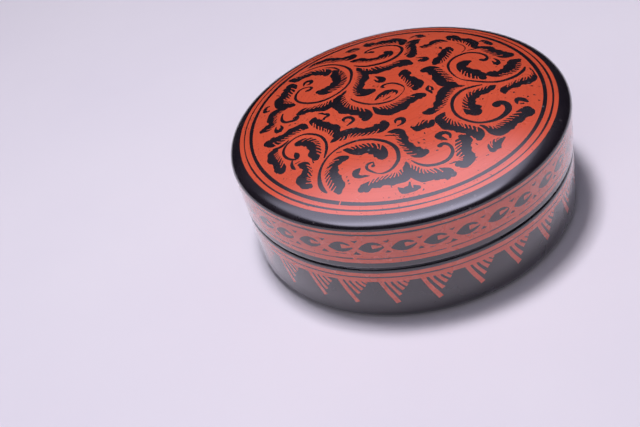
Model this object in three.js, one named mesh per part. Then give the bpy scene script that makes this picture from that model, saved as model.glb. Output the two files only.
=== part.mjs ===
// Low round incense box of lacquered turned wood.
// The body has a standing inner lip, and the lid lifts off it. The two meet at a V groove.
// Millimetres, +Z up. The origin is the middle of the underside.

import * as THREE from "three";

// Outside of the box
const outerDiameter = 80;
const bodyHeight = 15.5; // from the underside to the seam
const lidWallHeight = 11; // from the seam to the start of the rounded shoulder
const shoulderHeight = 2.2;
const shoulderWidth = 2.8;
const domeRise = 3.7; // of the lid's top, inside the shoulder
const domeFullness = 2.4; // power of the dome's curve: 2 is even, more is flatter in the middle
const lidTaper = 0.5; // how much the lid's radius shrinks from the shoulder to the seam
const footTaper = 0.3; // how much the body's radius shrinks from the seam to the foot
const footRounding = 2.5;

// Rounded edges that make the V groove at the seam
const lidEdgeWidth = 0.45;
const lidEdgeHeight = 0.9;
const bodyEdgeWidth = 0.7;
const bodyEdgeHeight = 0.9;

// Walls of the hollow inside
const lidWall = 2.1;
const lidTop = 2.4;
const bodyFloor = 2.6;
const lidInsideFillet = 2.5;
const bodyInsideFillet = 1.5;

// Lip of the body, which stands inside the lid
const lipHeight = 4;
const lipThickness = 1.2;
const lipRounding = 0.4;
const lipClearance = 0.3; // between the lip and the inside of the lid

// Fineness of the turned surfaces
const segmentsAround = 96;
const stepsOfDome = 7;
const stepsOfShoulder = 5;
const stepsOfFoot = 5;
const stepsOfSeamEdge = 3;
const stepsOfFillet = 3;
const stepsOfLip = 2;

// Sizes that follow from the ones above
const outerRadius = outerDiameter / 2;
const seamRadius = outerRadius - lidTaper;
const footRadius = seamRadius - footTaper;
const lidInnerRadius = seamRadius - lidWall;
const lipOuterRadius = lidInnerRadius - lipClearance;
const bodyInnerRadius = lipOuterRadius - lipThickness;
const shoulderStart = bodyHeight + lidWallHeight;
const domeEdgeRadius = outerRadius - shoulderWidth;
const domeEdgeHeight = shoulderStart + shoulderHeight;
const domeEdgeSlope = (domeRise * domeFullness) / domeEdgeRadius;

// Height of the lid's domed top above the underside, at a distance from the axis.
function domeHeight(radius) {
  const sag = domeRise * (radius / domeEdgeRadius) ** domeFullness;
  return domeEdgeHeight + domeRise - sag;
}

// Quarter of an ellipse between two points of a profile, bulging towards the corner given.
function roundedCorner(start, corner, end, steps) {
  const points = [];
  for (let step = 0; step <= steps; step += 1) {
    const angle = (step / steps) * (Math.PI / 2);
    const alongStart = 1 - Math.sin(angle);
    const alongEnd = 1 - Math.cos(angle);
    points.push(
      new THREE.Vector2(
        corner.x + (start.x - corner.x) * alongStart + (end.x - corner.x) * alongEnd,
        corner.y + (start.y - corner.y) * alongStart + (end.y - corner.y) * alongEnd,
      ),
    );
  }
  return points;
}

// The lid's top from its middle to the shoulder.
function domeProfile(steps) {
  const points = [];
  for (let step = 0; step < steps; step += 1) {
    const radius = (domeEdgeRadius * step) / steps;
    points.push(new THREE.Vector2(radius, domeHeight(radius)));
  }
  return points;
}

// The rounded shoulder, which leaves the dome at its slope and meets the wall upright.
function shoulderProfile(steps) {
  const roundness = 0.55; // handle length of a cubic curve close to a quarter circle
  return new THREE.CubicBezierCurve(
    new THREE.Vector2(domeEdgeRadius, domeEdgeHeight),
    new THREE.Vector2(
      domeEdgeRadius + shoulderWidth * roundness,
      domeEdgeHeight - shoulderWidth * roundness * domeEdgeSlope,
    ),
    new THREE.Vector2(outerRadius, shoulderStart + shoulderHeight * roundness),
    new THREE.Vector2(outerRadius, shoulderStart),
  ).getPoints(steps);
}

// The ceiling of the lid's inside, a wall's thickness under the dome, with a fillet down to its wall.
function lidInsideProfile() {
  const filletEdge = lidInnerRadius - lidInsideFillet;
  const ceilingAtFillet = domeHeight(filletEdge) - lidTop;
  return [
    ...roundedCorner(
      new THREE.Vector2(lidInnerRadius, ceilingAtFillet - lidInsideFillet),
      new THREE.Vector2(lidInnerRadius, ceilingAtFillet),
      new THREE.Vector2(filletEdge, ceilingAtFillet),
      stepsOfFillet,
    ),
    new THREE.Vector2(filletEdge / 2, domeHeight(filletEdge / 2) - lidTop),
    new THREE.Vector2(0, domeHeight(0) - lidTop),
  ];
}

function lidProfile() {
  return [
    ...domeProfile(stepsOfDome),
    ...shoulderProfile(stepsOfShoulder),
    ...roundedCorner(
      new THREE.Vector2(seamRadius, bodyHeight + lidEdgeHeight),
      new THREE.Vector2(seamRadius, bodyHeight),
      new THREE.Vector2(seamRadius - lidEdgeWidth, bodyHeight),
      stepsOfSeamEdge,
    ),
    new THREE.Vector2(lidInnerRadius, bodyHeight),
    ...lidInsideProfile(),
  ];
}

// The rim on which the lid rests, the lip with its rounded top, and the hollow down to the floor.
function bodyInsideProfile() {
  const lipTop = bodyHeight + lipHeight;
  return [
    new THREE.Vector2(lipOuterRadius, bodyHeight),
    ...roundedCorner(
      new THREE.Vector2(lipOuterRadius, lipTop - lipRounding),
      new THREE.Vector2(lipOuterRadius, lipTop),
      new THREE.Vector2(lipOuterRadius - lipRounding, lipTop),
      stepsOfLip,
    ),
    ...roundedCorner(
      new THREE.Vector2(bodyInnerRadius + lipRounding, lipTop),
      new THREE.Vector2(bodyInnerRadius, lipTop),
      new THREE.Vector2(bodyInnerRadius, lipTop - lipRounding),
      stepsOfLip,
    ),
    ...roundedCorner(
      new THREE.Vector2(bodyInnerRadius, bodyFloor + bodyInsideFillet),
      new THREE.Vector2(bodyInnerRadius, bodyFloor),
      new THREE.Vector2(bodyInnerRadius - bodyInsideFillet, bodyFloor),
      stepsOfFillet,
    ),
    new THREE.Vector2(0, bodyFloor),
  ];
}

function bodyProfile() {
  return [
    new THREE.Vector2(0, 0),
    ...roundedCorner(
      new THREE.Vector2(footRadius - footRounding, 0),
      new THREE.Vector2(footRadius, 0),
      new THREE.Vector2(footRadius, footRounding),
      stepsOfFoot,
    ),
    ...roundedCorner(
      new THREE.Vector2(seamRadius, bodyHeight - bodyEdgeHeight),
      new THREE.Vector2(seamRadius, bodyHeight),
      new THREE.Vector2(seamRadius - bodyEdgeWidth, bodyHeight),
      stepsOfSeamEdge,
    ),
    ...bodyInsideProfile(),
  ];
}

// A closed turned solid about +Z. The profile runs round the section with the solid on its left.
function turned(profile) {
  const geometry = new THREE.LatheGeometry(profile, segmentsAround);
  return geometry.rotateX(Math.PI / 2);
}

function lacquer(color, roughness) {
  return new THREE.MeshStandardMaterial({ color, roughness, metalness: 0 });
}

const body = new THREE.Mesh(turned(bodyProfile()), lacquer(0x1d1a1a, 0.3));
body.name = "body";

const lid = new THREE.Mesh(turned(lidProfile().reverse()), lacquer(0xc2482f, 0.28));
lid.name = "lid";

const incenseBox = new THREE.Group();
incenseBox.add(body, lid);

export default incenseBox;
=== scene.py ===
# Round lacquered incense box, standing closed on a pale floor.
# Metres and +Z up, in the frame of the CAD. Shapes and patterns below are worked out in millimetres.

import random
from bisect import bisect_left
from math import cos, hypot, pi, radians, sin, sqrt, tau

import bpy
from mathutils import Matrix, Vector
from mathutils.geometry import delaunay_2d_cdt


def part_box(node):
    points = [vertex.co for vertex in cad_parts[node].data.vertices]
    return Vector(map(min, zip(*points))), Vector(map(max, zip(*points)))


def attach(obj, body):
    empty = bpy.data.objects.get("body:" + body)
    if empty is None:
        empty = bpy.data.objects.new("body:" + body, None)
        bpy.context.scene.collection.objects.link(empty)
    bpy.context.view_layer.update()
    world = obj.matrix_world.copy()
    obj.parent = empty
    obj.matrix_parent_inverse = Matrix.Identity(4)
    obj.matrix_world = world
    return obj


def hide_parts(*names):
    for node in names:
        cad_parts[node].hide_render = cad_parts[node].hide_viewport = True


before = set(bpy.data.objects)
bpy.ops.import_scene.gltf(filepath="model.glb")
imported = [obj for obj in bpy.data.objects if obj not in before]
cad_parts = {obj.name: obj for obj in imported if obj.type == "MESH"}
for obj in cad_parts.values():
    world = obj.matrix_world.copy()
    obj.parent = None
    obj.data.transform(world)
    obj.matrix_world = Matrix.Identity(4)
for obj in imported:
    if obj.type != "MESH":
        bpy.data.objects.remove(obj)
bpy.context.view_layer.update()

MM = 0.001
chance = random.Random(7)
between = chance.uniform


def millimetres(metres):
    return round(metres / MM, 2)


# Sizes that the frame gives
lid_low, lid_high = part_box("lid")
body_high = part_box("body")[1]
OUTER_RADIUS = millimetres(lid_high[0])
SEAM_RADIUS = millimetres(body_high[0])
BODY_HEIGHT = millimetres(lid_low[2])
LID_HEIGHT = millimetres(lid_high[2] - lid_low[2])
LIP_TOP = millimetres(body_high[2])

# Outside of the box, as in the CAD
SHOULDER_HEIGHT = 2.2
SHOULDER_WIDTH = 2.8
SHOULDER_ROUNDNESS = 0.55  # handle length of a cubic curve close to a quarter circle
DOME_RISE = 3.7
DOME_FULLNESS = 2.4  # power of the dome's curve
FOOT_TAPER = 0.3
FOOT_ROUNDING = 2.5
LID_EDGE_WIDTH = 0.45
BODY_EDGE_WIDTH = 0.7
EDGE_HEIGHT = 0.9
FOOT_RADIUS = SEAM_RADIUS - FOOT_TAPER
LID_WALL_HEIGHT = round(LID_HEIGHT - DOME_RISE - SHOULDER_HEIGHT, 2)
SHOULDER_START = BODY_HEIGHT + LID_WALL_HEIGHT
DOME_RADIUS = OUTER_RADIUS - SHOULDER_WIDTH
DOME_START = SHOULDER_START + SHOULDER_HEIGHT
DOME_EDGE_SLOPE = DOME_RISE * DOME_FULLNESS / DOME_RADIUS

# Inside of the box, as in the CAD
LID_WALL = 2.1
LID_TOP = 2.4
LID_FILLET = 2.5
LIP_GAP = 0.3
LIP_THICKNESS = 1.2
LIP_ROUNDING = 0.4
BODY_FLOOR = 2.6
BODY_FILLET = 1.5
LID_INNER = SEAM_RADIUS - LID_WALL
LIP_RADIUS = LID_INNER - LIP_GAP
BODY_INNER = LIP_RADIUS - LIP_THICKNESS

# Fineness of the turned surfaces
STEPS_AROUND = 288
SHOULDER_STEPS = 20
EDGE_STEPS = 6
FOOT_STEPS = 10
LIP_STEPS = 4
CEILING_STEPS = 8
UNDERSIDE_RING = 20.0  # radius of a ring of corners halfway out on the flat underside
FLOOR_RING = 18.0  # the same, on the floor inside

# Colours of the faces
BLACK = 0
RED = 1

TINY = 1e-6


def dome_height(radius):
    return DOME_START + DOME_RISE * (1 - (radius / DOME_RADIUS) ** DOME_FULLNESS)


def dome_slope(radius):
    return DOME_EDGE_SLOPE * (radius / DOME_RADIUS) ** (DOME_FULLNESS - 1)


# Profiles: lists of (radius, height) that are turned about the axis

def quarter(start, corner, end, steps):
    """Points of a quarter ellipse from start to end, bulging towards the corner."""
    points = []
    for step in range(steps + 1):
        angle = step / steps * pi / 2
        from_start = 1 - sin(angle)
        from_end = 1 - cos(angle)
        points.append(tuple(
            corner[i] + (start[i] - corner[i]) * from_start + (end[i] - corner[i]) * from_end
            for i in (0, 1)
        ))
    return points


def shoulder(steps):
    """Points of the rounded shoulder, from the edge of the dome down to the wall."""
    handle = SHOULDER_WIDTH * SHOULDER_ROUNDNESS
    p0 = Vector((DOME_RADIUS, DOME_START))
    p1 = Vector((DOME_RADIUS + handle, DOME_START - handle * DOME_EDGE_SLOPE))
    p2 = Vector((OUTER_RADIUS, SHOULDER_START + SHOULDER_HEIGHT * SHOULDER_ROUNDNESS))
    p3 = Vector((OUTER_RADIUS, SHOULDER_START))
    points = []
    for step in range(steps + 1):
        t = step / steps
        s = 1 - t
        points.append(tuple(p0 * s ** 3 + p1 * 3 * s * s * t + p2 * 3 * s * t * t + p3 * t ** 3))
    return points


# Corners in one cell of a fine grid become one point. The shift keeps round numbers off the cells' borders.
CELLS_PER_MM = 1000
CELL_SHIFT = 0.123


class Form:
    """Faces, each with its corners, the corners' normals and its colour."""

    def __init__(self):
        self.points = []
        self.index = {}
        self.faces = []
        self.normals = []
        self.colours = []

    def point(self, place):
        key = tuple(round(value * CELLS_PER_MM + CELL_SHIFT) for value in place)
        if key not in self.index:
            self.index[key] = len(self.points)
            self.points.append(place)
        return self.index[key]

    def face(self, places, normals, colour):
        """Adds a face, unless fewer than three of its corners are apart."""
        corners = [self.point(place) for place in places]
        kept = [i for i in range(len(corners)) if corners[i] != corners[i - 1]]
        if len(kept) < 3:
            return
        self.faces.append([corners[i] for i in kept])
        self.normals.append([normals[i] for i in kept])
        self.colours.append(colour)


def around(radius, height, angle):
    return (radius * cos(angle), radius * sin(angle), height)


def turn(form, profile, start_normal=None, end_normal=None):
    """Turns a profile, with the solid on its right, into black quads with smooth normals."""
    count = len(profile)
    slopes = []
    for i in range(count - 1):
        along = Vector(profile[i + 1]) - Vector(profile[i])
        slopes.append(Vector((-along.y, along.x)).normalized())
    normals = [(slopes[max(i - 1, 0)] + slopes[min(i, count - 2)]).normalized() for i in range(count)]
    if start_normal:
        normals[0] = Vector(start_normal).normalized()
    if end_normal:
        normals[-1] = Vector(end_normal).normalized()
    for k in range(STEPS_AROUND):
        a = k / STEPS_AROUND * tau
        b = (k + 1) / STEPS_AROUND * tau
        for i in range(count - 1):
            quad = ((i, a), (i + 1, a), (i + 1, b), (i, b))
            places = [around(*profile[j], angle) for j, angle in quad]
            corners = [around(*normals[j], angle) for j, angle in quad]
            form.face(places, corners, BLACK)


# Flat figures: convex or simple outlines in a plane, each with its colour, laid one over another

class Pattern:
    def __init__(self):
        self.figures = []

    def add(self, outline, colour):
        """Adds a figure; its outline is put in anticlockwise order."""
        if area(outline) < 0:
            outline = outline[::-1]
        self.figures.append((outline, colour))

    def quads(self, left, right, colour):
        """Adds the strip between two lines of points, quad by quad."""
        for i in range(len(left) - 1):
            self.add(hull([left[i], left[i + 1], right[i], right[i + 1]]), colour)


def area(outline):
    return sum(a[0] * b[1] - b[0] * a[1] for a, b in zip(outline, outline[1:] + outline[:1])) / 2


FLAT_AREA = 5e-10  # three points with less than this between them are in line, or turn right


def hull(points):
    """Corners of the smallest convex outline round some points, anticlockwise."""
    points = sorted(set((p[0], p[1]) for p in points))
    halves = []
    for ordered in (points, points[::-1]):
        chain = []
        for p in ordered:
            while len(chain) > 1 and area([chain[-2], chain[-1], p]) < FLAT_AREA:
                chain.pop()
            chain.append(p)
        halves += chain[:-1]
    return halves


TRIANGLES_INSIDE = 1  # the kind of result that fills only the faces given
SAME_POINT = 1e-4  # points closer than this are one


def triangles(outline, pattern, spare_points):
    """Triangles that fill the outline, each with the colour of the last figure over it."""
    points = []
    faces = []
    colours = []
    for figure, colour in [(outline, RED)] + pattern.figures:
        if len(figure) < 3:
            continue
        faces.append(list(range(len(points), len(points) + len(figure))))
        colours.append(colour)
        points += [Vector(p) for p in figure]
    points += [Vector(p) for p in spare_points]
    corners, _, found, _, _, covers = delaunay_2d_cdt(points, [], faces, TRIANGLES_INSIDE, SAME_POINT)
    for triangle, covering in zip(found, covers):
        if 0 in covering:
            yield [corners[i] for i in triangle], colours[max(covering)]


def lay(form, outline, pattern, spare_points, bend):
    """Adds the pattern's triangles to a form; bend gives each corner's place and normal."""
    for corners, colour in triangles(outline, pattern, spare_points):
        places, normals = zip(*(bend(x, y) for x, y in corners))
        form.face(places, normals, colour)


def circle(x, y, radius, steps):
    angles = [k / steps * tau for k in range(steps)]
    return [(x + radius * cos(angle), y + radius * sin(angle)) for angle in angles]


def wall_radius(height):
    if height > BODY_HEIGHT:
        return OUTER_RADIUS - (OUTER_RADIUS - SEAM_RADIUS) * (SHOULDER_START - height) / LID_WALL_HEIGHT
    return SEAM_RADIUS - (SEAM_RADIUS - FOOT_RADIUS) * (BODY_HEIGHT - height) / BODY_HEIGHT


# Rings of spare points that give the dome its curve
DOME_RINGS = 16
DOME_RING_GAP = 2.2
POINTS_PER_DOME_RING = 6.5  # times the ring's number


def lay_on_dome(form, pattern):
    """Lays a pattern seen from above on the lid's domed top."""

    def bend(x, y):
        radius = hypot(x, y)
        share = dome_slope(radius) / radius if radius > TINY else 0
        return (x, y, dome_height(min(radius, DOME_RADIUS))), (x * share, y * share, 1.0)

    spare = []
    for k in range(1, DOME_RINGS + 1):
        spare += circle(0, 0, k * DOME_RING_GAP, int(k * POINTS_PER_DOME_RING))
    lay(form, circle(0, 0, DOME_RADIUS, STEPS_AROUND), pattern, spare, bend)


# A wall's strip is unrolled: x is the length round the outer radius, y is the height
STRIP_LENGTH = tau * OUTER_RADIUS
STRIP_START = pi / 2
SNAP = 0.002


def wrapped(pattern):
    """The pattern, with whatever runs over one end of the strip added again at the other end."""
    whole = Pattern()
    for outline, colour in pattern.figures:
        whole.add(outline, colour)
        if min(p[0] for p in outline) < 0:
            whole.add([(p[0] + STRIP_LENGTH, p[1]) for p in outline], colour)
        if max(p[0] for p in outline) > STRIP_LENGTH:
            whole.add([(p[0] - STRIP_LENGTH, p[1]) for p in outline], colour)
    return whole


def snapped(value, goals):
    """The goal that the value all but meets, or else the value."""
    return next((goal for goal in goals if abs(value - goal) < SNAP), value)


def lay_on_wall(form, pattern, low, high, lean):
    """Wraps a strip's pattern round a wall, from one height to the other."""
    step = STRIP_LENGTH / STEPS_AROUND

    def bend(x, y):
        x = snapped(x, [round(x / step) * step]) % STRIP_LENGTH
        y = snapped(y, (low, high))
        angle = STRIP_START + x / OUTER_RADIUS
        return around(wall_radius(y), y, angle), around(1.0, -lean, angle)

    outline = [(k * step, low) for k in range(STEPS_AROUND + 1)]
    outline += [(k * step, high) for k in range(STEPS_AROUND, -1, -1)]
    lay(form, outline, wrapped(pattern), [], bend)


# Strokes: a line through (x, y, width) points, as cut and filled by hand

def smooth(points, spacing):
    """Points of a smooth curve through some points, with their widths."""
    line = []
    last = len(points) - 1
    for i in range(last):
        before, a, b, after = (Vector(points[k]) for k in (max(i - 1, 0), i, i + 1, min(i + 2, last)))
        start_pull = (b - before) * 0.5
        end_pull = (after - a) * 0.5
        steps = max(1, round((b.xy - a.xy).length / spacing))
        for step in range(steps):
            t = step / steps
            line.append(a * (2 * t ** 3 - 3 * t ** 2 + 1) + b * (3 * t ** 2 - 2 * t ** 3)
                        + start_pull * (t ** 3 - 2 * t ** 2 + t) + end_pull * (t ** 3 - t ** 2))
    line.append(Vector(points[last]))
    return line


def across(line):
    """For each point of a line, the direction to its left."""
    found = []
    for i in range(len(line)):
        along = line[min(i + 1, len(line) - 1)].xy - line[max(i - 1, 0)].xy
        found.append(Vector((-along.y, along.x)).normalized())
    return found


def add_ends(pattern, line, colour):
    """Rounds both ends of a line with discs of their widths."""
    for end in (line[0], line[-1]):
        pattern.add(circle(end.x, end.y, end.z / 2, 10), colour)


def stroke(pattern, points, colour=BLACK, spacing=0.45, rounded=True):
    line = smooth(points, spacing)
    lefts = across(line)
    left = [p.xy + n * (p.z / 2) for p, n in zip(line, lefts)]
    right = [p.xy - n * (p.z / 2) for p, n in zip(line, lefts)]
    pattern.quads(left, right, colour)
    if rounded:
        add_ends(pattern, line, colour)


LEFT = 1
RIGHT = -1
LEAF_SPACING = 0.4
LOBE_LENGTH = 2.9
LOBE_DEPTH = 0.19
LOBE_SKEW = 0.5
SMALL_LOBE = 0.3  # its depth, as a share of a large one's
SMALL_LOBES = 2.3  # to one large lobe
LOBED_WIDTH = 2.5  # a leaf at least this wide has lobes of full depth
LEAF_EXTRA = 0.32  # added to the lobed side

# Barbs lean along the leaf. Their depth and overhang are shares of its half width.
BARB_SPACING = 0.98
BARB_OVERHANG = 0.12
BARB_BEND = 1.3
BARB_WIDTHS = [  # at shares of the barb's length
    (0.0, 0.78), (0.2, 0.44), (0.45, 0.28), (0.75, 0.24), (1.0, 0.24),
]


def leaf(pattern, barbed_side, points, barbs_from=0.08, barbs_to=0.8):
    """A black leaf, lobed on one side, with fine red barbs cut into its other side."""
    line = smooth(points, LEAF_SPACING)
    lefts = across(line)
    lengths = [0.0]
    for a, b in zip(line, line[1:]):
        lengths.append(lengths[-1] + (b.xy - a.xy).length)
    shift = chance.random()
    barbed = []
    lobed = []
    for p, n, length in zip(line, lefts, lengths):
        phase = tau * (length / LOBE_LENGTH + shift)
        lobe = sin(phase + LOBE_SKEW * sin(phase)) + SMALL_LOBE * sin(phase * SMALL_LOBES)
        full = min(1.0, p.z / LOBED_WIDTH)
        swell = LOBE_DEPTH * lobe * full
        barbed.append(p.xy + n * (barbed_side * p.z / 2))
        lobed.append(p.xy - n * (barbed_side * (p.z / 2 + swell + LEAF_EXTRA * full)))
    pattern.quads(barbed, lobed, BLACK)
    add_ends(pattern, line, BLACK)

    def place(length, offset):
        """A point beside the leaf's middle line; it is on the barbed edge where the offset is 1."""
        i = max(1, min(len(line) - 1, bisect_left(lengths, length)))
        share = (length - lengths[i - 1]) / max(lengths[i] - lengths[i - 1], TINY)
        share = max(0.0, min(1.0, share))
        middle = line[i - 1].lerp(line[i], share)
        side = lefts[i - 1].lerp(lefts[i], share)
        return middle.xy + side * (barbed_side * offset * middle.z / 2)

    length = lengths[-1] * barbs_from
    while length < lengths[-1] * barbs_to:
        lean = between(0.8, 1.25)
        depth = between(0.62, 0.92)
        path = []
        for share, width in BARB_WIDTHS:
            offset = 1 + BARB_OVERHANG - (depth + BARB_OVERHANG) * share
            path.append((*place(length + lean * share ** BARB_BEND, offset), width))
        stroke(pattern, path, RED, spacing=0.5, rounded=False)
        tip_radius = between(0.12, 0.19)
        pattern.add(circle(*path[-1][:2], tip_radius, 7), RED)
        length += BARB_SPACING * between(0.85, 1.15)


# Pattern of the lid's top, in millimetres seen from above, with the front of the box at the bottom.
# Stems are thin curling lines, leaves grow along them, sprigs fill the gaps, and slits are red cuts in them.

STEM_FULLNESS = 1.35

STEMS = [
    [(-18.6, 26.6, .3), (-16, 27, .4), (-14, 26.9, .45), (-12, 26.3, .5), (-10, 25, .5), (-8.4, 23.2, .5),
     (-7.2, 21, .5), (-6.6, 19, .6), (-6.6, 17, .55), (-7, 15, .5), (-7.7, 13, .45), (-9.1, 11, .45),
     (-11, 9.5, .45), (-13, 8.6, .5), (-15, 8.2, .65), (-17, 8.5, .6), (-19, 9.6, .55), (-20.5, 11.1, .5),
     (-21.3, 13, .5), (-21.3, 14.6, .55), (-20.7, 16.2, .5), (-19.6, 17.4, .45), (-18.3, 17.5, .4),
     (-17.2, 17, .4), (-16.9, 16.2, .6), (-17.5, 15.6, .8), (-18.3, 15.6, .6)],
    [(-5.3, 20.5, .3), (-4, 19.2, .5), (-2.5, 18.2, .6), (-1, 17.8, .7), (1, 17.6, .75), (3, 17.9, .75),
     (4.5, 18.6, .75), (6, 19.9, .7), (7, 21.4, .65), (7.4, 23, .6), (7.1, 24.5, .55), (6.2, 25.9, .5),
     (5, 26.8, .5), (3.5, 27.4, .5), (1.8, 27.6, .6), (.2, 27.4, .5), (-1, 26.9, .45), (-1.5, 26.2, .5),
     (-1, 25.8, .4), (-.2, 25.8, .8), (.4, 25.2, .7)],
    [(32, 1.8, .3), (31.2, .4, .6), (29.5, -1.2, .65), (27.5, -2.3, .65), (25.5, -2.9, .6), (24, -3, .6),
     (22, -2.5, .5), (20, -1.5, .5), (18.5, -.6, .45), (17.2, .3, .3), (16.2, 1.6, .2), (15.6, 3.1, .3),
     (15.2, 5, .35), (15.2, 6.8, .45), (15.5, 8.5, .5), (16.3, 10, .5), (17.4, 11.2, .55), (19, 12.2, .55),
     (21, 12.8, .55), (22.8, 12.4, .55), (24.2, 11.3, .55), (25, 10, .55), (25.1, 8.8, .5), (24.6, 8, .8),
     (23.9, 7.7, 1), (23.4, 8.1, .8)],
    [(20.3, -3.1, .3), (18, -3.2, .55), (16, -3.6, .6), (14.5, -4.5, .65), (13, -6, .65), (12.1, -7.8, .6),
     (11.7, -9.5, .55), (11.6, -11.2, .55), (12, -13.1, .55), (13, -14.8, .5), (14.4, -16.2, .5),
     (16, -17, .5), (18, -17.2, .6), (20, -16.8, .75), (21.7, -15.8, .9), (23, -14.4, 1.1),
     (23.4, -12.8, 1.2), (22.9, -11.6, 1.2), (21.9, -11.3, 1.3), (21.1, -11.8, 1.5)],
    [(-1.3, -23.6, .2), (-.3, -25, .4), (1, -26.1, .55), (2.5, -26.6, .6), (4, -26.7, .6), (5.5, -26.4, .65),
     (6.8, -25.5, .65), (7.6, -24.3, .6), (7.8, -23, .55), (7.4, -21.7, .6), (6.5, -21, .7),
     (5.6, -21.4, .9)],
    [(-20.6, -24.7, .3), (-21.1, -23.6, .7), (-21.4, -22, .8), (-21.3, -20, .65), (-20.8, -18, .5),
     (-19.8, -16, .45), (-18.6, -14.5, .4), (-17.2, -13.3, .35), (-15.2, -12.3, .4), (-13, -11.9, .5),
     (-11, -11.9, .5), (-9.5, -12.3, .5), (-8, -12.9, .55), (-6.5, -13.9, .6), (-5, -15.3, .6),
     (-3.9, -17, .65), (-3.4, -18.6, .7), (-3.4, -20.2, .7), (-3.8, -22, .65), (-4.8, -23.4, .6),
     (-6.2, -24.5, .5), (-7.8, -24.8, .35), (-9.1, -24.3, .2), (-10.1, -23.2, .4), (-10.8, -22.2, .45),
     (-10.8, -21.2, .5), (-10.2, -20.6, .5), (-9.2, -20.6, .35), (-9.1, -21.2, .2), (-9.4, -21.7, .7)],
    [(-18.9, -13.8, .3), (-18, -11.6, .5), (-17.6, -9.6, .5), (-17.7, -7.8, .5), (-18.3, -6, .5),
     (-19.5, -4.4, .5), (-21.3, -3.1, .45), (-23.2, -2.8, .35), (-24.8, -3.3, .4), (-26.4, -4.4, .45),
     (-27.3, -6, .5), (-27.4, -7.7, .5), (-26.9, -9.1, .5), (-26, -10.2, .45), (-25.2, -10.6, .5),
     (-24.7, -10.1, 1), (-24.7, -9, .9), (-24.8, -8.5, .4)],
    [(-9, 5, .2), (-8.3, 3.5, .4), (-7, 1.8, .45), (-5.8, .7, .45), (-4.5, -.1, .4), (-3, -.6, .5),
     (-1, -.8, .45), (.6, -.4, .3), (2, .6, .2), (3.1, 1.8, .15), (3.6, 3.2, .2), (3.3, 4.4, .4),
     (2.7, 5.4, .45), (1.7, 6.4, .5), (.4, 6.9, .45), (-.7, 6.7, .6), (-1.2, 6, .6), (-.6, 5.6, .2)],
    [(-25.3, 8.9, .3), (-25.8, 7.5, .5), (-25.8, 6, .6), (-25.2, 4.9, .6), (-24, 4.4, .65), (-22.8, 4.3, .8),
     (-22.1, 4.9, .8), (-22.6, 5.4, .7), (-23.2, 5, .3)],
    [(20.2, 13.6, .15), (21.2, 14.6, .2), (21.6, 16.2, .2), (21.3, 17.7, .2), (20.4, 19.3, .15)],
    [(-29.4, -3.9, .5), (-27.8, -4.1, .7), (-26.6, -3.6, .5), (-25.6, -2.9, .3)],
]

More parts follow.
